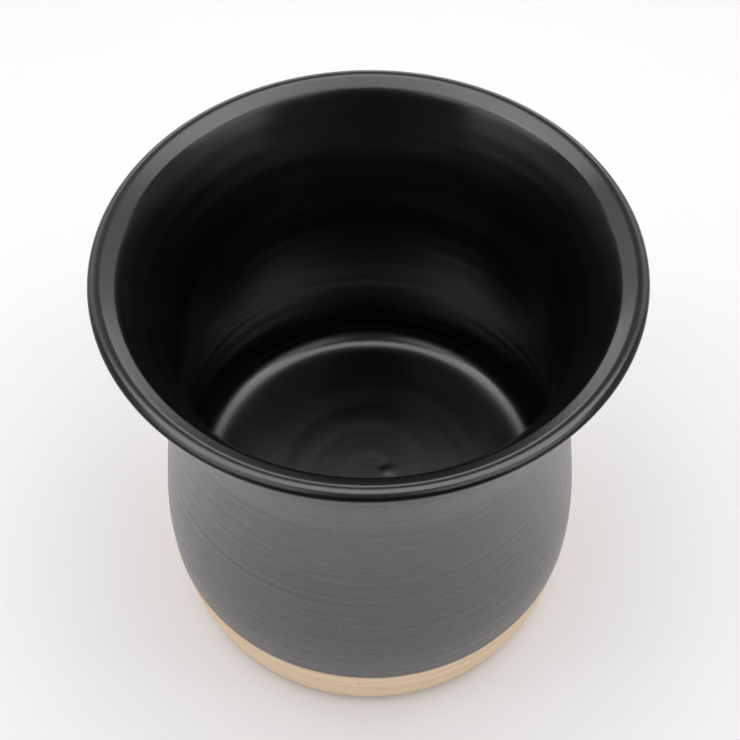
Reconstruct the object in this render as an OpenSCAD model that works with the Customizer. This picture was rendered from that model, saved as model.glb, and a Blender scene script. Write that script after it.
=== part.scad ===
// Empty stoneware candle jar: a thrown clay vessel with a flared lip, a black glaze lining that rolls
// over the lip, and a charcoal glaze coat outside that stops above a bare clay foot.
// The jar stands on z = 0 with its axis along Z. All three pieces are turned shapes, in millimetres.

/* [Jar] */
// Height from the foot to the top of the lip
jar_height = 110.5; // [102:0.5:124]
// Outer diameter across the lip
lip_diameter = 110; // [106:0.5:114]
// Outer diameter at the waist, under the flared lip
waist_diameter = 90.2; // [86:0.2:96]
// Height of the waist above the foot
waist_height = 78; // [72:0.5:82]
// Outer diameter at the belly
belly_diameter = 100.4; // [98:0.2:106]
// Height of the belly above the foot
belly_height = 23; // [20:0.5:30]
// Outer diameter of the flat foot
foot_diameter = 92.6; // [88:0.2:95]

/* [Wall and floor] */
// Thickness of the side wall with its glaze
wall = 4.6; // [3.6:0.1:5.6]
// Height of the inside floor above the foot
floor_height = 26; // [22:0.1:28]
// Radius of the round between the inside wall and the floor
floor_round = 7; // [4:0.5:9]
// Radius of the round over the top of the lip
lip_round = 2; // [1.6:0.1:2.4]
// Radius of the crisp edge at the lip's widest point
lip_edge = 0.5; // [0.5:0.05:0.9]
// Width of the sloping band on top of the lip, from its inner edge to its outer edge
lip_band = 5.1; // [4.6:0.1:6]
// Slope of that band, down towards the inside, in degrees
lip_slope = 34; // [24:1:38]

/* [Foot] */
// Width of the flat ring that the jar stands on
foot_ring = 8; // [5:0.5:12]
// Depth of the turned recess inside the foot ring
recess_depth = 14; // [8:0.5:15]
// Radius of the round at the top of the recess
recess_round = 5; // [3:0.5:7]

/* [Glaze] */
// Thickness of both glazes
glaze = 0.4; // [0.3:0.05:0.4]
// How far down the curve from belly to foot the charcoal glaze stops, as a share of that curve
glaze_stop = 0.14; // [0.1:0.01:0.4]

/* [Hidden] */
$fn = 96;

// Fired clay surfaces, one glaze thickness inside the finished ones
lip_r = lip_diameter / 2 - glaze;
lip_z = jar_height - glaze;
waist_r = waist_diameter / 2 - glaze;
belly_r = belly_diameter / 2 - glaze;
foot_r = foot_diameter / 2;
ring_in_r = foot_r - foot_ring;
clay_wall = wall - 2 * glaze;
floor_z = floor_height - glaze;
crest_round = lip_round - glaze;
edge_tip_round = lip_edge - glaze;

// The lip is rounded over its crest down to tip_angle, and turns under in a small crisp round there
crest_angle = 90 + lip_slope;
tip_angle = 30;
under_angle = -60;
tip_offset = (crest_round - edge_tip_round) * [cos(tip_angle), sin(tip_angle)];
crest_centre = [lip_r - edge_tip_round - tip_offset[0], lip_z - crest_round];
tip_centre = crest_centre + tip_offset;

// Inner edge of the band, on the slope that leaves the round at its crest
crest = crest_centre + crest_round * [cos(crest_angle), sin(crest_angle)];
edge_r = lip_diameter / 2 - lip_band + glaze;
edge = [edge_r, crest[1] - (crest[0] - edge_r) * tan(lip_slope)];

// How far the round at that inner edge reaches, and which way the neck runs below it
edge_round = 0.7;
neck_way = [0.6, 0.8];

// Handles of the upright curves, as shares of the height that each curve climbs
wall_low_pull = 0.3;
wall_high_pull = 0.45;
neck_pull = 0.4;
waist_pull = 0.43;
belly_pull = 0.25;
foot_pull = 0.42;

// Handles that lean: the neck inside and outside where it meets the lip, and the side where it meets
// the foot
inner_flare = [5, 7.5];
outer_flare = [5, 2.9];
foot_turn = [3, 0.5];

// How much narrower the recess underneath is at its round than at the ring
recess_lean = 2;

// Steps along each curve, and along the short rounds
arc_steps = 7;
curve_steps = 9;
short_steps = 4;

// Points of a circular arc about centre c, from angle a to angle b
function arc(c, r, a, b, n) = [for (i = [0 : n]) let (t = a + (b - a) * i / n) c + r * [cos(t), sin(t)]];

// Points of a cubic curve with ends p and s and handles q and r, from share t0 to share t1
function cubic(p, q, r, s, n, t0 = 0, t1 = 1) =
    [for (i = [0 : n]) let (t = t0 + (t1 - t0) * i / n, u = 1 - t)
        u * u * u * p + 3 * u * u * t * q + 3 * u * t * t * r + t * t * t * s];

// All but the first point, so that stretches join without a doubled point
function tail(p) = [for (i = [1 : len(p) - 1]) p[i]];
function reversed(p) = [for (i = [len(p) - 1 : -1 : 0]) p[i]];

// Each point moved by d to the left of the direction of travel
function left_of(v) = [-v[1], v[0]] / norm(v);
function raised(p, d) =
    [for (i = [0 : len(p) - 1]) p[i] + d * left_of(p[min(i + 1, len(p) - 1)] - p[max(i - 1, 0)])];

// Inside, from the centre of the floor up the wall, over the band and round the lip to its underside
inner_waist_r = waist_r - clay_wall;
inner_belly_r = belly_r - clay_wall;
round_centre = [inner_belly_r - floor_round, floor_z + floor_round];
wall_foot = round_centre + [floor_round, 0];
inner_waist = [inner_waist_r, waist_height];
edge_low = edge - edge_round * neck_way;
edge_high = edge + edge_round * [cos(lip_slope), sin(lip_slope)];
wall_rise = waist_height - wall_foot[1];
neck_rise = edge_low[1] - waist_height;
inside = concat(
    [[0, floor_z]],
    arc(round_centre, floor_round, -90, 0, arc_steps),
    tail(cubic(wall_foot, wall_foot + [0, wall_low_pull * wall_rise],
        inner_waist - [0, wall_high_pull * wall_rise], inner_waist, curve_steps)),
    tail(cubic(inner_waist, inner_waist + [0, neck_pull * neck_rise], edge_low - inner_flare, edge_low,
        curve_steps)),
    tail(cubic(edge_low, edge, edge, edge_high, short_steps)),
    arc(crest_centre, crest_round, crest_angle, tip_angle, arc_steps),
    tail(arc(tip_centre, edge_tip_round, tip_angle, under_angle, short_steps)));

// Outside, from the underside of the lip down to the glaze line, and on down to the foot
under = tip_centre + edge_tip_round * [cos(under_angle), sin(under_angle)];
waist = [waist_r, waist_height];
belly = [belly_r, belly_height];
foot = [foot_r, 0];
drop = waist_height - belly_height;
belly_handle = belly - [0, foot_pull * belly_height];
foot_handle = foot + foot_turn;
glazed_side = concat(
    cubic(under, under - outer_flare, waist + [0, neck_pull * (under[1] - waist_height)], waist,
        curve_steps),
    tail(cubic(waist, waist - [0, waist_pull * drop], belly + [0, belly_pull * drop], belly,
        curve_steps)),
    tail(cubic(belly, belly_handle, foot_handle, foot, short_steps, 0, glaze_stop)));
bare_side = tail(cubic(belly, belly_handle, foot_handle, foot, curve_steps, glaze_stop, 1));

// Underside: the flat ring, then up a slightly leaning wall and a round to the flat of the recess
recess_r = ring_in_r - recess_lean - recess_round;
recess = concat(
    [[ring_in_r, 0]],
    arc([recess_r, recess_depth - recess_round], recess_round, 0, 90, arc_steps),
    [[0, recess_depth]]);

// The fired clay: one turned solid, bounded by the inside, the two outside stretches and the underside
module clay_body() {
    color([0.78, 0.68, 0.57])
        rotate_extrude()
            polygon(concat(inside, tail(glazed_side), bare_side, recess));
}

// Black glaze: a skin on the floor and wall that rolls over the lip and ends on its underside
module inner_glaze() {
    color([0.05, 0.05, 0.055])
        rotate_extrude()
            polygon(concat(inside, reversed(raised(inside, glaze))));
}

// Charcoal glaze: a skin from the underside of the lip down to the glaze line above the foot
module outer_glaze() {
    color([0.3, 0.3, 0.31])
        rotate_extrude()
            polygon(concat(glazed_side, reversed(raised(glazed_side, glaze))));
}

clay_body();
inner_glaze();
outer_glaze();
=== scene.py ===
import math

import bpy
import numpy as np
from mathutils import Matrix, Vector


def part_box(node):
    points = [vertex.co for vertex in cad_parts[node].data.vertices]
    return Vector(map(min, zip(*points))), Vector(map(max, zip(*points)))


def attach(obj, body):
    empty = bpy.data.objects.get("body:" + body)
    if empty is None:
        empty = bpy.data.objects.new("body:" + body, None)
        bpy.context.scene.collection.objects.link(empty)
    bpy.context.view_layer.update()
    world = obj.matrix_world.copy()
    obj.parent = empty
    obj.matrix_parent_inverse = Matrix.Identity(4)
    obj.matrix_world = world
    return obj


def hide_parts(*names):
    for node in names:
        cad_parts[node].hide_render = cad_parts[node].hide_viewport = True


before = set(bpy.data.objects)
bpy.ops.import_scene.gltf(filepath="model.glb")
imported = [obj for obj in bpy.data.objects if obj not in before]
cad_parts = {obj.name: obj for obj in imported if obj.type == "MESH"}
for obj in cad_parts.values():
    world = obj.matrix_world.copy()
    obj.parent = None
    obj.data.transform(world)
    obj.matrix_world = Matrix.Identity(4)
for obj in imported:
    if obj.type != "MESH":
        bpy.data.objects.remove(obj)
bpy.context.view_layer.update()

# The jar's turned shape, in metres and degrees. A pull is a share of the stretch that it bends. What the
# frame can tell is read from it below.
jar = {
    "waistRadius": 0.0451,
    "waistHeight": 0.078,
    "bellyRadius": 0.0502,
    "bellyHeight": 0.023,
    "footRadius": 0.0463,
    "wall": 0.0046,
    "floorRound": 0.007,
    "crestRound": 0.002,
    "tipRound": 0.0005,
    "bandWidth": 0.0051,
    "bandSlope": 34,
    "bandCorner": 0.0007,
    "bandCornerWay": (0.6, 0.8),
    "tipAngle": 30,
    "underAngle": -60,
    "wallLowPull": 0.3,
    "wallHighPull": 0.45,
    "neckPull": 0.4,
    "waistPull": 0.43,
    "bellyPull": 0.25,
    "footPull": 0.42,
    "innerFlare": (0.005, 0.0075),
    "outerFlare": (0.005, 0.0029),
    "footTurn": (0.003, 0.0005),
    "footRing": 0.008,
    "recessDepth": 0.014,
    "recessLean": 0.002,
    "recessRound": 0.005,
}
liningLow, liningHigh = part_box("inner_glaze")
lipHeight = liningHigh.z
lipRadius = max(liningHigh.x, liningHigh.y)
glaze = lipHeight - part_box("clay_body")[1].z
floorHeight = liningLow.z + glaze
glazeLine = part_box("outer_glaze")[0].z
nearAxis = 1e-7    # a radius this small counts as on the axis
around = 320       # steps in the jar's full turn
backSkip = 3       # a hidden back face keeps one point in this many
hiddenSkip = 4     # clay under the glaze keeps one point in this many
footSteps = 400    # cuts in the curve from belly to foot, so the glaze line falls on one
footSkip = 4       # and of those, one in this many is kept


# A point of an outline, as radius and height
def point(radius, height):
    return np.array([radius, height])


# A step of some length at an angle: length (cos t, sin t)
def turnedBy(degrees, length):
    return length * np.array([math.cos(math.radians(degrees)), math.sin(math.radians(degrees))])


# Circle about centre, from angle start to angle stop: centre + radius (cos t, sin t)
def arc(centre, radius, start, stop, steps):
    t = np.radians(np.linspace(start, stop, steps + 1))[:, None]
    return centre + radius * np.hstack([np.cos(t), np.sin(t)])


# Cubic curve (1-t)^3 a + 3 (1-t)^2 t b + 3 (1-t) t^2 c + t^3 d, for t from 0 to 1
def cubic(a, b, c, d, steps):
    t = np.linspace(0, 1, steps + 1)[:, None]
    u = 1 - t
    return u**3 * a + 3 * u * u * t * b + 3 * u * t * t * c + t**3 * d


# Straight line a + t (b - a)
def straight(a, b, steps):
    return a + np.linspace(0, 1, steps + 1)[:, None] * (b - a)


# Stretches joined end to end, with the shared points kept once
def joined(*stretches):
    return np.vstack([stretches[0]] + [stretch[1:] for stretch in stretches[1:]])


# Unit vector to the left of travel at each point of an outline
def leftNormals(outline):
    along = np.gradient(outline, axis=0)
    along /= np.linalg.norm(along, axis=1)[:, None]
    return np.stack([-along[:, 1], along[:, 0]], axis=1)


# Distance travelled along an outline, up to each of its points
def pathLength(outline):
    return np.concatenate([[0], np.cumsum(np.linalg.norm(np.diff(outline, axis=0), axis=1))])


# An outline moved in by the glaze's thickness: p - glaze * normal
def underGlaze(outline):
    return outline - glaze * leftNormals(outline)


# The angle of each step round a full turn
def turnAngles(steps):
    return np.arange(steps) * 2 * np.pi / steps


# 0 below low, 1 above high and a smooth s between: 3 t^2 - 2 t^3
def smoothStep(value, low, high):
    t = np.clip((value - low) / (high - low), 0, 1)
    return t * t * (3 - 2 * t)


# Uneven ridges that close after one turn: the sum of cos(2 pi s / length + k angle + phase), where each
# wave has its own length, whole number k and phase, drawn from the seed. Each wave fades in and out
# round the turn as 1 + fade cos(m angle + 2 pi s / coarsest + phase), with its own whole number m.
def turningWaves(along, angle, seed, count, finest, coarsest, mostTurns, fade=0.0):
    draw = np.random.default_rng(seed)
    lengths = coarsest * (finest / coarsest) ** draw.random(count)
    turns = draw.integers(-mostTurns, mostTurns + 1, count)
    phases = draw.random(count) * 2 * np.pi
    fades = draw.integers(1, 8, count)
    total = np.zeros((len(along), len(angle)))
    slow = 2 * np.pi * along[:, None] / coarsest
    for length, turn, phase, faded in zip(lengths, turns, phases, fades):
        wave = np.cos(2 * np.pi * along[:, None] / length + turn * angle[None, :] + phase)
        total += wave * (1 + fade * np.cos(faded * angle[None, :] + slow + 3 * phase))
    return total / math.sqrt(count)


# An outline carried once round Z: (r cos a, r sin a, z), each point first lifted along the outline's
# normal and then shifted. An outline that starts and ends on the axis gets one point at each pole, and
# any other outline is joined end to start.
def turnedPiece(name, outline, around, lift=None, shift=None, marks=None):
    angle = turnAngles(around)
    normal = leftNormals(outline)
    grid = np.repeat(outline[:, None, :], around, axis=1)
    if lift is not None:
        grid = grid + normal[:, None, :] * lift[:, :, None]
    if shift is not None:
        grid = grid + shift
    onAxis = outline[0, 0] < nearAxis
    grid[..., 0] = np.where(outline[:, None, 0] < nearAxis, 0, grid[..., 0])
    xyz = np.stack([grid[..., 0] * np.cos(angle), grid[..., 0] * np.sin(angle), grid[..., 1]], axis=-1)
    rows = len(outline)
    index = np.arange(rows * around).reshape(rows, around)
    ahead = np.roll(index, -1, axis=1)
    if onAxis:
        ring = index[1:-1]
        ringAhead = ahead[1:-1]
        quads = np.stack([ring[:-1], ring[1:], ringAhead[1:], ringAhead[:-1]], axis=-1).reshape(-1, 4)
        start = np.stack([np.full(around, index[0, 0]), ring[0], ringAhead[0]], axis=-1)
        stop = np.stack([np.full(around, index[-1, 0]), ringAhead[-1], ring[-1]], axis=-1)
        used = np.concatenate([[index[0, 0]], ring.ravel(), [index[-1, 0]]])
    else:
        below = np.roll(index, -1, axis=0)
        quads = np.stack([index, below, np.roll(below, -1, axis=1), ahead], axis=-1).reshape(-1, 4)
        start = stop = np.zeros((0, 3), int)
        used = index.ravel()
    renumber = np.zeros(rows * around, int)
    renumber[used] = np.arange(len(used))
    faces = renumber[quads].tolist() + renumber[start].tolist() + renumber[stop].tolist()
    mesh = bpy.data.meshes.new(name)
    mesh.from_pydata(xyz.reshape(-1, 3)[used], [], faces)
    mesh.polygons.foreach_set("use_smooth", np.ones(len(mesh.polygons), bool))
    for markName, values in (marks or {}).items():
        attribute = mesh.attributes.new(markName, "FLOAT", "POINT")
        wide = np.broadcast_to(values, (rows, around)).ravel()[used]
        attribute.data.foreach_set("value", wide.astype(np.float32))
    mesh.update()
    piece = bpy.data.objects.new(name, mesh)
    bpy.context.scene.collection.objects.link(piece)
    return piece


# The finished outline, shared by the three pieces. The last number of a stretch is how many steps it has.
crestAngle = 90 + jar["bandSlope"]
tipOffset = turnedBy(jar["tipAngle"], jar["crestRound"] - jar["tipRound"])
crestCentre = point(lipRadius - jar["tipRound"] - tipOffset[0], lipHeight - jar["crestRound"])
tipCentre = crestCentre + tipOffset
crest = crestCentre + turnedBy(crestAngle, jar["crestRound"])
edgeRadius = lipRadius - jar["bandWidth"]
edge = point(edgeRadius, crest[1] - (crest[0] - edgeRadius) * math.tan(math.radians(jar["bandSlope"])))
edgeLow = edge - jar["bandCorner"] * point(*jar["bandCornerWay"])
edgeHigh = edge + turnedBy(jar["bandSlope"], jar["bandCorner"])
roundCentre = point(jar["bellyRadius"] - jar["wall"] - jar["floorRound"], floorHeight + jar["floorRound"])
wallFoot = roundCentre + point(jar["floorRound"], 0)
innerWaist = point(jar["waistRadius"] - jar["wall"], jar["waistHeight"])
wallRise = point(0, innerWaist[1] - wallFoot[1])
neckRise = point(0, edgeLow[1] - innerWaist[1])

floorStretch = straight(point(0, floorHeight), point(roundCentre[0], floorHeight), 56)
wallStretch = joined(
    arc(roundCentre, jar["floorRound"], -90, 0, 20),
    cubic(wallFoot, wallFoot + jar["wallLowPull"] * wallRise,
          innerWaist - jar["wallHighPull"] * wallRise, innerWaist, 40),
    cubic(innerWaist, innerWaist + jar["neckPull"] * neckRise,
          edgeLow - point(*jar["innerFlare"]), edgeLow, 36),
)
lipStretch = joined(
    cubic(edgeLow, edge, edge, edgeHigh, 8),
    straight(edgeHigh, crest, 8),
    arc(crestCentre, jar["crestRound"], crestAngle, jar["tipAngle"], 20),
    arc(tipCentre, jar["tipRound"], jar["tipAngle"], jar["underAngle"], 8),
)
liningStretch = joined(floorStretch, wallStretch, lipStretch)
under = lipStretch[-1]
waist = point(jar["waistRadius"], jar["waistHeight"])
belly = point(jar["bellyRadius"], jar["bellyHeight"])
foot = point(jar["footRadius"], 0)
outerRise = point(0, under[1] - waist[1])
outerDrop = point(0, waist[1] - belly[1])
footCurve = cubic(
    belly, belly - point(0, jar["footPull"] * belly[1]),
    foot + point(jar["footTurn"][0] + glaze, jar["footTurn"][1]), foot + point(glaze, 0), footSteps)
lineStep = int(np.argmin(np.abs(footCurve[:, 1] - glazeLine)))
coatStretch = joined(
    cubic(under, under - point(*jar["outerFlare"]), waist + jar["neckPull"] * outerRise, waist, 60),
    cubic(waist, waist - jar["waistPull"] * outerDrop, belly + jar["bellyPull"] * outerDrop, belly, 90),
    footCurve[: lineStep + 1 : footSkip],
)
bareStretch = footCurve[lineStep::footSkip]

# Black lining: uneven throwing rings inside, a pip of clay near the middle of the floor, a smooth lip
lining = {
    "ringDepth": 0.00003,
    "floorShare": 0.15,
    "finestRing": 0.004,
    "coarsestRing": 0.016,
    "pipX": 0.0046,
    "pipY": 0.0018,
    "pipHeight": 0.00016,
    "pipWidth": 0.0017,
    "ringSeed": 11,
    "ringCount": 26,
    "ringFade": 0.7,
    "wallFade": 0.012,
    "lipFade": 0.006,
    "calmCentre": 0.002,
    "fullCentre": 0.008,
    "dimpleAway": 0.0014,
    "dimpleWidth": 0.0012,
    "dimpleShare": 0.4,
    "lipSway": 0.00005,
    "swaySeed": 12,
    "swayCount": 8,
    "finestSway": 0.03,
    "coarsestSway": 0.08,
    "swayTurns": 4,
    "tipRows": 10,
    "breakWidth": 0.0011,
}


def makeLining():
    skin = liningStretch
    back = np.vstack([underGlaze(skin)[::-backSkip], point(0, floorHeight - glaze)])
    outline = np.vstack([skin, back])
    angle = turnAngles(around)
    path = pathLength(skin)
    lipStart = path[len(floorStretch) + len(wallStretch) - 2]
    floorEnd = path[len(floorStretch) - 1]
    rings = turningWaves(path, angle, lining["ringSeed"], lining["ringCount"], lining["finestRing"],
                         lining["coarsestRing"], 1, lining["ringFade"])
    onLip = smoothStep(path, lipStart - lining["lipFade"], lipStart)
    onWall = smoothStep(path, floorEnd, floorEnd + lining["wallFade"]) * (1 - onLip)
    offCentre = smoothStep(path, lining["calmCentre"], lining["fullCentre"])
    onRest = lining["floorShare"] * offCentre * (1 - onWall)
    lift = lining["ringDepth"] * rings * (onWall + onRest)[:, None]
    sway = turningWaves(path, angle, lining["swaySeed"], lining["swayCount"], lining["finestSway"],
                        lining["coarsestSway"], lining["swayTurns"])
    lift += lining["lipSway"] * sway * onLip[:, None]
    lift[-lining["tipRows"]:] *= np.linspace(1, 0, lining["tipRows"])[:, None]
    # the pip is a round hill with a small dimple beside it: height exp(-distance^2 / width^2)
    x = skin[:, 0:1] * np.cos(angle)
    y = skin[:, 0:1] * np.sin(angle)
    onFloor = (np.arange(len(skin)) < len(floorStretch))[:, None]
    fromPipX = x - lining["pipX"]
    fromPipY = y - lining["pipY"]
    away = lining["dimpleAway"]
    hill = np.exp(-(fromPipX**2 + fromPipY**2) / lining["pipWidth"] ** 2)
    dimple = np.exp(-((fromPipX + away) ** 2 + (fromPipY - away) ** 2) / lining["dimpleWidth"] ** 2)
    lift += onFloor * lining["pipHeight"] * (hill - lining["dimpleShare"] * dimple)
    fullLift = np.vstack([lift, np.zeros((len(back), around))])
    fromCrest = np.linalg.norm(skin - (crestCentre + turnedBy(90, jar["crestRound"])), axis=1)
    lipBreak = np.concatenate([np.exp(-(fromCrest / lining["breakWidth"]) ** 2), np.zeros(len(back))])
    return turnedPiece("innerGlaze", outline, around, fullLift, marks={"lipBreak": lipBreak[:, None]})


# Charcoal coat: fine turning ridges, and a rounded, slightly wandering edge at the glaze line
coat = {
    "ridgeDepth": 0.000022,
    "finestRidge": 0.0012,
    "coarsestRidge": 0.008,
    "ridgeSeed": 21,
    "ridgeCount": 40,
    "ridgeFade": 0.9,
    "topFade": 0.01,
    "lineFade": 0.003,
    "edgeRound": 0.00035,
    "edgeDepth": 0.85,
    "beadHeight": 0.00007,
    "beadWidth": 0.0022,
    "lineWander": 0.00012,
    "wanderSeed": 22,
    "wanderCount": 14,
    "wanderTurns": 19,
}


def makeCoat():
    back = underGlaze(coatStretch)[::-backSkip]
    outline = np.vstack([coatStretch, back])
    angle = turnAngles(around)
    path = pathLength(coatStretch)
    toLine = path[-1] - path
    ridges = turningWaves(path, angle, coat["ridgeSeed"], coat["ridgeCount"], coat["finestRidge"],
                          coat["coarsestRidge"], 1, coat["ridgeFade"])
    offLine = smoothStep(toLine, 0, coat["lineFade"])
    lift = coat["ridgeDepth"] * ridges * (smoothStep(path, 0, coat["topFade"]) * offLine)[:, None]
    # near the line the glaze swells, beadHeight exp(-((s - w) / w)^2) with w half the bead's width, then
    # rounds off by edgeDepth * glaze * (sqrt(1 - (1 - s / edgeRound)^2) - 1), s being the way to the line
    halfBead = coat["beadWidth"] / 2
    swell = coat["beadHeight"] * np.exp(-((toLine - halfBead) / halfBead) ** 2)
    nearEnd = np.clip(1 - toLine / coat["edgeRound"], 0, 1)
    lift += (swell + coat["edgeDepth"] * glaze * (np.sqrt(1 - nearEnd**2) - 1))[:, None]
    fullLift = np.vstack([lift, np.zeros((len(back), around))])
    # the line wanders: a sum of cosines round the jar, full at the line and gone above lineFade
    waves = turningWaves(np.zeros(1), angle, coat["wanderSeed"], coat["wanderCount"], 1, 1,
                         coat["wanderTurns"])
    wander = coat["lineWander"] * waves[0]
    share = np.concatenate([1 - offLine, (1 - offLine)[::-backSkip]])
    shift = np.stack([np.zeros((len(outline), around)), share[:, None] * wander[None, :]], axis=-1)
    return turnedPiece("outerGlaze", outline, around, fullLift, shift)


# Fired clay: fine turning grooves on the bare foot, coarser ones in the recess underneath
clay = {
    "grooveDepth": 0.000025,
    "finestGroove": 0.0006,
    "coarsestGroove": 0.004,
    "grooveSeed": 31,
    "grooveCount": 46,
    "calmFoot": 0.0002,
    "fullFoot": 0.003,
    "recessGroove": 0.00006,
    "finestRecess": 0.0018,
    "coarsestRecess": 0.007,
    "recessSeed": 32,
    "recessCount": 18,
    "calmAxis": 0.0005,
    "fullAxis": 0.006,
    "ringChamfer": 0.0004,
}


def makeClay():
    hiddenInside = underGlaze(liningStretch)[::hiddenSkip]
    hiddenOutside = underGlaze(coatStretch)[::hiddenSkip]
    bare = bareStretch - point(glaze, 0)
    bare[-1, 1] = 0
    ringIn = jar["footRadius"] - jar["footRing"]
    recessRadius = ringIn - jar["recessLean"] - jar["recessRound"]
    chamfer = clay["ringChamfer"]
    ring = straight(bare[-1], point(ringIn + chamfer, 0), 12)
    roundStart = point(ringIn - jar["recessLean"], jar["recessDepth"] - jar["recessRound"])
    recess = joined(
        straight(point(ringIn + chamfer, 0), point(ringIn, chamfer), 3),
        straight(point(ringIn, chamfer), roundStart, 20),
        arc(point(recessRadius, roundStart[1]), jar["recessRound"], 0, 90, 14),
        straight(point(recessRadius, jar["recessDepth"]), point(0, jar["recessDepth"]), 70),
    )
    hidden = np.vstack([hiddenInside, hiddenOutside[1:-1]])
    outline = np.vstack([hidden, bare, ring[1:], recess[1:]])
    angle = turnAngles(around)
    path = pathLength(outline)
    grooves = turningWaves(path, angle, clay["grooveSeed"], clay["grooveCount"], clay["finestGroove"],
                           clay["coarsestGroove"], 1)
    count = np.arange(len(outline))
    onBare = (count >= len(hidden)) & (count < len(hidden) + len(bare))
    onRecess = count >= len(hidden) + len(bare) + len(ring) + 1
    depth = clay["grooveDepth"] * onBare * smoothStep(outline[:, 1], clay["calmFoot"], clay["fullFoot"])
    offAxis = smoothStep(outline[:, 0], clay["calmAxis"], clay["fullAxis"])
    wide = turningWaves(path, angle, clay["recessSeed"], clay["recessCount"], clay["finestRecess"],
                        clay["coarsestRecess"], 1)
    lift = depth[:, None] * grooves + (clay["recessGroove"] * onRecess * offAxis)[:, None] * wide
    return turnedPiece("clayBody", outline, around, lift)


innerGlaze = makeLining()
outerGlaze = makeCoat()
clayBody = makeClay()
for piece, node, slot in (
    (innerGlaze, "inner_glaze", "black_glaze"),
    (outerGlaze, "outer_glaze", "charcoal_glaze"),
    (clayBody, "clay_body", "bare_clay"),
):
    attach(piece, "root")
    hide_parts(node)
    print(piece.name, len(piece.data.polygons), "faces")


# Small helpers for building node trees
def addNode(tree, kind, x, y, **settings):
    node = tree.nodes.new(kind)
    node.location = (x, y)
    for name, value in settings.items():
        setattr(node, name, value)
    return node


def join(tree, output, target):
    tree.links.new(output, target)


def newGroup(name, inputs, outputs):
    group = bpy.data.node_groups.new(name, "ShaderNodeTree")
    for label, default in inputs:
        socket = group.interface.new_socket(name=label, in_out="INPUT", socket_type="NodeSocketFloat")
        socket.default_value = default
    for label in outputs:
        group.interface.new_socket(name=label, in_out="OUTPUT", socket_type="NodeSocketFloat")
    return group, addNode(group, "NodeGroupInput", -900, 0), addNode(group, "NodeGroupOutput", 700, 0)


def useGroup(tree, group, x, y, **values):
    node = addNode(tree, "ShaderNodeGroup", x, y, node_tree=group)
    for label, value in values.items():
        node.inputs[label].default_value = value
    return node


# Streaks that run round the jar: noise on (x around, y around, (z + radius) across), so the pattern is
# long round the axis and fine up the wall, or outwards on a flat face
def makeStreaksGroup():
    group, given, result = newGroup(
        "turningStreaks", [("Around", 20), ("Across", 900)], ["Streaks", "Fine"])
    coords = addNode(group, "ShaderNodeTexCoord", -900, 300)
    split = addNode(group, "ShaderNodeSeparateXYZ", -720, 300)
    join(group, coords.outputs["Object"], split.inputs[0])
    flat = addNode(group, "ShaderNodeCombineXYZ", -560, 420)
    join(group, split.outputs["X"], flat.inputs["X"])
    join(group, split.outputs["Y"], flat.inputs["Y"])
    radius = addNode(group, "ShaderNodeVectorMath", -400, 420, operation="LENGTH")
    join(group, flat.outputs[0], radius.inputs[0])
    path = addNode(group, "ShaderNodeMath", -240, 420, operation="ADD")
    join(group, radius.outputs["Value"], path.inputs[0])
    join(group, split.outputs["Z"], path.inputs[1])
    scaled = []
    for source, label, y in ((split.outputs["X"], "Around", 250), (split.outputs["Y"], "Around", 100),
                             (path.outputs[0], "Across", -50)):
        times = addNode(group, "ShaderNodeMath", -80, y, operation="MULTIPLY")
        join(group, source, times.inputs[0])
        join(group, given.outputs[label], times.inputs[1])
        scaled.append(times.outputs[0])
    vector = addNode(group, "ShaderNodeCombineXYZ", 80, 150)
    for source, target in zip(scaled, vector.inputs):
        join(group, source, target)
    for label, scale, detail, y in (("Streaks", 1.0, 3.0, 200), ("Fine", 4.0, 5.0, -100)):
        noise = addNode(group, "ShaderNodeTexNoise", 260, y)
        noise.inputs["Scale"].default_value = scale
        noise.inputs["Detail"].default_value = detail
        join(group, vector.outputs[0], noise.inputs["Vector"])
        join(group, noise.outputs[0], result.inputs[label])
    return group


# Small round freckles: the cells of a Voronoi pattern whose random value is low, near their centres
def makeFrecklesGroup():
    group, given, result = newGroup(
        "freckles", [("Density", 400), ("Share", 0.1), ("Size", 0.25)], ["Freckles"])
    coords = addNode(group, "ShaderNodeTexCoord", -900, 300)
    cells = addNode(group, "ShaderNodeTexVoronoi", -600, 200)
    join(group, coords.outputs["Object"], cells.inputs["Vector"])
    join(group, given.outputs["Density"], cells.inputs["Scale"])
    near = addNode(group, "ShaderNodeMath", -350, 250, operation="LESS_THAN")
    join(group, cells.outputs["Distance"], near.inputs[0])
    join(group, given.outputs["Size"], near.inputs[1])
    split = addNode(group, "ShaderNodeSeparateColor", -350, 50)
    join(group, cells.outputs["Color"], split.inputs[0])
    chosen = addNode(group, "ShaderNodeMath", -150, 50, operation="LESS_THAN")
    join(group, split.outputs[0], chosen.inputs[0])
    join(group, given.outputs["Share"], chosen.inputs[1])
    both = addNode(group, "ShaderNodeMath", 100, 150, operation="MULTIPLY")
    join(group, near.outputs[0], both.inputs[0])
    join(group, chosen.outputs[0], both.inputs[1])
    join(group, both.outputs[0], result.inputs["Freckles"])
    return group


# Soft clouding from the kiln, and a fine orange-peel grain, both plain noise on Object coordinates
def makeCloudGroup():
    group, given, result = newGroup(
        "kilnCloud", [("Cloud Scale", 30), ("Grain Scale", 900)], ["Cloud", "Grain"])
    coords = addNode(group, "ShaderNodeTexCoord", -900, 300)
    for label, source, detail, y in (("Cloud", "Cloud Scale", 4.0, 200),
                                     ("Grain", "Grain Scale", 2.0, -100)):
        noise = addNode(group, "ShaderNodeTexNoise", 0, y)
        noise.inputs["Detail"].default_value = detail
        join(group, coords.outputs["Object"], noise.inputs["Vector"])
        join(group, given.outputs[source], noise.inputs["Scale"])
        join(group, noise.outputs[0], result.inputs[label])
    return group


streaksGroup = makeStreaksGroup()
frecklesGroup = makeFrecklesGroup()
cloudGroup = makeCloudGroup()


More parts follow.
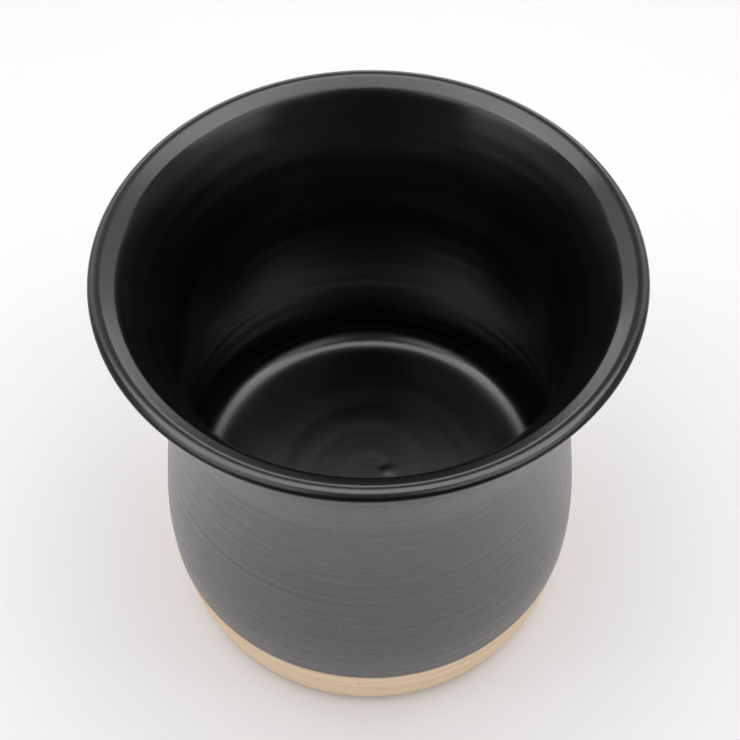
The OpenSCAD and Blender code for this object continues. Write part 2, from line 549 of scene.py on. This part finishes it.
def newMaterial(name):
    material = bpy.data.materials.new(name)
    material.use_nodes = True
    tree = material.node_tree
    return material, tree, tree.nodes["Principled BSDF"]


# A value spread from low..high to toLow..toHigh
def spread(tree, source, x, y, low, high, toLow, toHigh):
    node = addNode(tree, "ShaderNodeMapRange", x, y)
    for label, value in (("From Min", low), ("From Max", high), ("To Min", toLow), ("To Max", toHigh)):
        node.inputs[label].default_value = value
    join(tree, source, node.inputs["Value"])
    return node.outputs["Result"]


# The colour mix has sockets of the same name for each type, so its own are picked by place
mixMask, mixUnder, mixOver, mixResult = 0, 6, 7, 2


# One colour over another, by a mask
def blendColours(tree, mask, under, over, x, y):
    node = addNode(tree, "ShaderNodeMix", x, y, data_type="RGBA")
    for value, target in ((under, node.inputs[mixUnder]), (over, node.inputs[mixOver])):
        if isinstance(value, tuple):
            target.default_value = (*value, 1)
        else:
            join(tree, value, target)
    join(tree, mask, node.inputs[mixMask])
    return node.outputs[mixResult]


# A bump into the shader's normal, on top of an earlier bump when there is one
def addBump(tree, shader, height, x, y, distance, strength, before=None):
    bump = addNode(tree, "ShaderNodeBump", x, y)
    bump.inputs["Distance"].default_value = distance
    bump.inputs["Strength"].default_value = strength
    join(tree, height, bump.inputs["Height"])
    if before is not None:
        join(tree, before.outputs[0], bump.inputs["Normal"])
    join(tree, bump.outputs[0], shader.inputs["Normal"])
    return bump


blackGlaze = {
    "colour": (0.0022, 0.0020, 0.0024),
    "cloudColour": (0.0040, 0.0037, 0.0044),
    "breakColour": (0.012, 0.011, 0.014),
    "roughest": 0.27,
    "smoothest": 0.20,
    "refraction": 1.6,
    "clouds": {"Cloud Scale": 45, "Grain Scale": 1500},
    "cloudRange": (0.4, 0.65),
    "streaks": {"Around": 14, "Across": 260},
    "streakRange": (0.35, 0.65),
    "breakShare": 0.8,
    "grainDepth": 0.00003,
    "grainStrength": 0.6,
}


def makeBlackGlaze():
    material, tree, shader = newMaterial("blackSatinGlaze")
    cloud = useGroup(tree, cloudGroup, -900, 200, **blackGlaze["clouds"])
    streaks = useGroup(tree, streaksGroup, -900, -100, **blackGlaze["streaks"])
    clouded = spread(tree, cloud.outputs["Cloud"], -700, 300, *blackGlaze["cloudRange"], 0, 1)
    colour = blendColours(tree, clouded, blackGlaze["colour"], blackGlaze["cloudColour"], -450, 300)
    lipBreak = addNode(tree, "ShaderNodeAttribute", -700, 500, attribute_name="lipBreak")
    thin = spread(tree, lipBreak.outputs["Fac"], -450, 520, 0, 1, 0, blackGlaze["breakShare"])
    broken = blendColours(tree, thin, colour, blackGlaze["breakColour"], -200, 350)
    join(tree, broken, shader.inputs["Base Color"])
    rough = spread(tree, streaks.outputs["Streaks"], -450, 0, *blackGlaze["streakRange"],
                   blackGlaze["smoothest"], blackGlaze["roughest"])
    join(tree, rough, shader.inputs["Roughness"])
    addBump(tree, shader, cloud.outputs["Grain"], -250, -300, blackGlaze["grainDepth"],
            blackGlaze["grainStrength"])
    shader.inputs["IOR"].default_value = blackGlaze["refraction"]
    return material


charcoalGlaze = {
    "colour": (0.0265, 0.0252, 0.0272),
    "streakColour": (0.034, 0.0322, 0.0352),
    # painted shade: a darker band just above the glaze line, where the glaze edge meets the clay
    "lineShadeColour": (0.026, 0.022, 0.030),
    "freckleColour": (0.13, 0.12, 0.12),
    "lineShadeWidth": 0.0010,
    "roughest": 0.30,
    "smoothest": 0.26,
    "refraction": 1.75,
    "streaks": {"Around": 60, "Across": 900},
    "streakRange": (0.36, 0.66),
    "fineRange": (0.35, 0.65),
    "freckles": {"Density": 320, "Share": 0.05, "Size": 0.16},
    "clouds": {"Cloud Scale": 40, "Grain Scale": 1400},
    "fineDepth": 0.00003,
    "fineStrength": 0.2,
    "grainDepth": 0.00003,
    "grainStrength": 0.25,
}


def makeCharcoalGlaze():
    material, tree, shader = newMaterial("charcoalMattGlaze")
    streaks = useGroup(tree, streaksGroup, -1100, 200, **charcoalGlaze["streaks"])
    freckles = useGroup(tree, frecklesGroup, -1100, -150, **charcoalGlaze["freckles"])
    cloud = useGroup(tree, cloudGroup, -1100, 500, **charcoalGlaze["clouds"])
    streaked = spread(tree, streaks.outputs["Streaks"], -850, 200, *charcoalGlaze["streakRange"], 0, 1)
    colour = blendColours(tree, streaked, charcoalGlaze["colour"], charcoalGlaze["streakColour"], -600, 250)
    dotted = blendColours(tree, freckles.outputs["Freckles"], colour, charcoalGlaze["freckleColour"],
                          -350, 250)
    coords = addNode(tree, "ShaderNodeTexCoord", -1100, 800)
    split = addNode(tree, "ShaderNodeSeparateXYZ", -900, 800)
    join(tree, coords.outputs["Object"], split.inputs[0])
    # A narrow band just above the glaze line is darkened: painted shade at the glaze edge
    lineShadeTop = glazeLine + charcoalGlaze["lineShadeWidth"]
    lineShadeMask = spread(tree, split.outputs["Z"], -650, 700, glazeLine, lineShadeTop, 1, 0)
    lineShaded = blendColours(tree, lineShadeMask, dotted, charcoalGlaze["lineShadeColour"], -150, 300)
    join(tree, lineShaded, shader.inputs["Base Color"])
    rough = spread(tree, streaks.outputs["Fine"], -600, -50, *charcoalGlaze["fineRange"],
                   charcoalGlaze["smoothest"], charcoalGlaze["roughest"])
    join(tree, rough, shader.inputs["Roughness"])
    fine = addBump(tree, shader, streaks.outputs["Fine"], -500, -350, charcoalGlaze["fineDepth"],
                   charcoalGlaze["fineStrength"])
    addBump(tree, shader, cloud.outputs["Grain"], -250, -350, charcoalGlaze["grainDepth"],
            charcoalGlaze["grainStrength"], fine)
    shader.inputs["IOR"].default_value = charcoalGlaze["refraction"]
    return material


bareClay = {
    "colour": (0.88, 0.69, 0.48),
    "grooveColour": (0.77, 0.57, 0.37),
    "speckColour": (0.46, 0.29, 0.17),
    "roughness": 0.85,
    "streaks": {"Around": 25, "Across": 1100},
    "streakRange": (0.38, 0.66),
    "freckles": {"Density": 700, "Share": 0.08, "Size": 0.2},
    "clouds": {"Cloud Scale": 60, "Grain Scale": 2500},
    "fineDepth": 0.00008,
    "fineStrength": 0.6,
    "grainDepth": 0.00006,
    "grainStrength": 0.6,
}


def makeBareClay():
    material, tree, shader = newMaterial("bareClay")
    streaks = useGroup(tree, streaksGroup, -1000, 200, **bareClay["streaks"])
    freckles = useGroup(tree, frecklesGroup, -1000, -150, **bareClay["freckles"])
    cloud = useGroup(tree, cloudGroup, -1000, 500, **bareClay["clouds"])
    streaked = spread(tree, streaks.outputs["Streaks"], -750, 250, *bareClay["streakRange"], 0, 1)
    colour = blendColours(tree, streaked, bareClay["colour"], bareClay["grooveColour"], -500, 250)
    specked = blendColours(tree, freckles.outputs["Freckles"], colour, bareClay["speckColour"], -250, 250)
    join(tree, specked, shader.inputs["Base Color"])
    shader.inputs["Roughness"].default_value = bareClay["roughness"]
    fine = addBump(tree, shader, streaks.outputs["Fine"], -500, -350, bareClay["fineDepth"],
                   bareClay["fineStrength"])
    addBump(tree, shader, cloud.outputs["Grain"], -250, -350, bareClay["grainDepth"],
            bareClay["grainStrength"], fine)
    return material


innerGlaze.data.materials.append(makeBlackGlaze())
outerGlaze.data.materials.append(makeCharcoalGlaze())
clayBody.data.materials.append(makeBareClay())
print("materials made")

# A pale floor that sweeps up all round, softboxes above, behind, at the sides and in front, and a dark card
studio = {
    "floorRadius": 1.5,
    "sweepRadius": 0.7,
    "wallHeight": 0.9,
    "thickness": 0.02,
    "drop": 0.0001,
    "floorSteps": 30,
    "sweepSteps": 24,
    "wallSteps": 4,
    "around": 96,
    "colour": (0.74, 0.735, 0.74),
    "roughness": 0.8,
    "aimHeight": 0.06,
    "lampTint": (1.0, 0.985, 1.0),
    "surround": 0.20,
}
# Each softbox: place, width and depth in metres, watts
softboxes = {
    "overhead": ((0, 0.04, 0.60), 1.0, 0.38, 3.8),
    "backPanel": ((0, 1.8, 0.62), 2.0, 0.8, 9.5),
    "rightPanel": ((0.90, 0.90, 0.70), 1.0, 0.9, 2.9),
    "leftPanel": ((-0.90, 0.90, 0.70), 1.0, 0.9, 2.9),
    "rightFill": ((0.75, -0.52, 0.85), 1.0, 0.9, 3.9),
    "leftFill": ((-0.75, -0.52, 0.85), 1.0, 0.9, 4.1),
}
# The dark card in front of the jar, seen only in reflections, which keeps the far inside wall dark
screen = {
    "width": 1.2,
    "height": 0.55,
    "away": 0.6,
    "lowest": 0.03,
    "colour": (0.02, 0.02, 0.02),
    "roughness": 0.9,
}


def plainMaterial(name, colour, roughness):
    material, _, shader = newMaterial(name)
    shader.inputs["Base Color"].default_value = (*colour, 1)
    shader.inputs["Roughness"].default_value = roughness
    return material


def makeStage():
    drop = studio["drop"]
    rim = point(studio["floorRadius"] + studio["sweepRadius"], studio["sweepRadius"] - drop)
    inner = joined(
        straight(point(0, -drop), point(studio["floorRadius"], -drop), studio["floorSteps"]),
        arc(point(studio["floorRadius"], rim[1]), studio["sweepRadius"], -90, 0, studio["sweepSteps"]),
        straight(rim, point(rim[0], studio["wallHeight"]), studio["wallSteps"]),
    )
    outer = (inner - studio["thickness"] * leftNormals(inner))[::-1]
    floor = turnedPiece("paleFloor", np.vstack([inner, outer]), studio["around"])
    floor.data.materials.append(plainMaterial("palePaper", studio["colour"], studio["roughness"]))


def makeScreen():
    half, away, low = screen["width"] / 2, -screen["away"], screen["lowest"]
    high = low + screen["height"]
    mesh = bpy.data.meshes.new("darkScreen")
    corners = [(-half, away, low), (half, away, low), (half, away, high), (-half, away, high)]
    mesh.from_pydata(corners, [], [(0, 1, 2, 3)])
    card = bpy.data.objects.new("darkScreen", mesh)
    bpy.context.scene.collection.objects.link(card)
    mesh.materials.append(plainMaterial("blackCard", screen["colour"], screen["roughness"]))
    card.visible_camera = False
    card.visible_diffuse = False
    card.visible_shadow = False


def addSoftbox(name, place, width, depth, watts):
    light = bpy.data.lights.new(name, "AREA")
    light.shape = "RECTANGLE"
    light.size = width
    light.size_y = depth
    light.energy = watts
    light.color = studio["lampTint"]
    softbox = bpy.data.objects.new(name, light)
    softbox.location = place
    way = Vector((0, 0, studio["aimHeight"])) - Vector(place)
    softbox.rotation_euler = way.to_track_quat("-Z", "Y").to_euler()
    softbox.visible_camera = False
    bpy.context.scene.collection.objects.link(softbox)


def makeStudio():
    makeStage()
    makeScreen()
    for name, values in softboxes.items():
        addSoftbox(name, *values)
    world = bpy.data.worlds.new("studio")
    world.use_nodes = True
    background = world.node_tree.nodes["Background"]
    background.inputs["Color"].default_value = (1, 1, 1, 1)
    background.inputs["Strength"].default_value = studio["surround"]
    bpy.context.scene.world = world
    bpy.context.scene.view_settings.view_transform = "Standard"


makeStudio()

# Camera above and in front, looking down into the jar
view = {
    "lens": 60.8,
    "sensor": 36.0,
    "away": 0.1615,
    "sideways": 0.0002,
    "above": 0.1857,
    "tiltDown": 54.26,
    "roll": -0.36,
    "nearest": 0.01,
}


def makeCamera():
    data = bpy.data.cameras.new("camera")
    data.lens = view["lens"]
    data.sensor_width = view["sensor"]
    data.clip_start = view["nearest"]
    camera = bpy.data.objects.new("camera", data)
    place = Matrix.Translation((view["sideways"], -view["away"], lipHeight + view["above"]))
    tilt = Matrix.Rotation(math.radians(90 - view["tiltDown"]), 4, "X")
    roll = Matrix.Rotation(math.radians(view["roll"]), 4, "Z")
    camera.matrix_world = place @ (tilt @ roll)
    bpy.context.scene.collection.objects.link(camera)
    bpy.context.scene.camera = camera


makeCamera()
print("studio and camera ready")
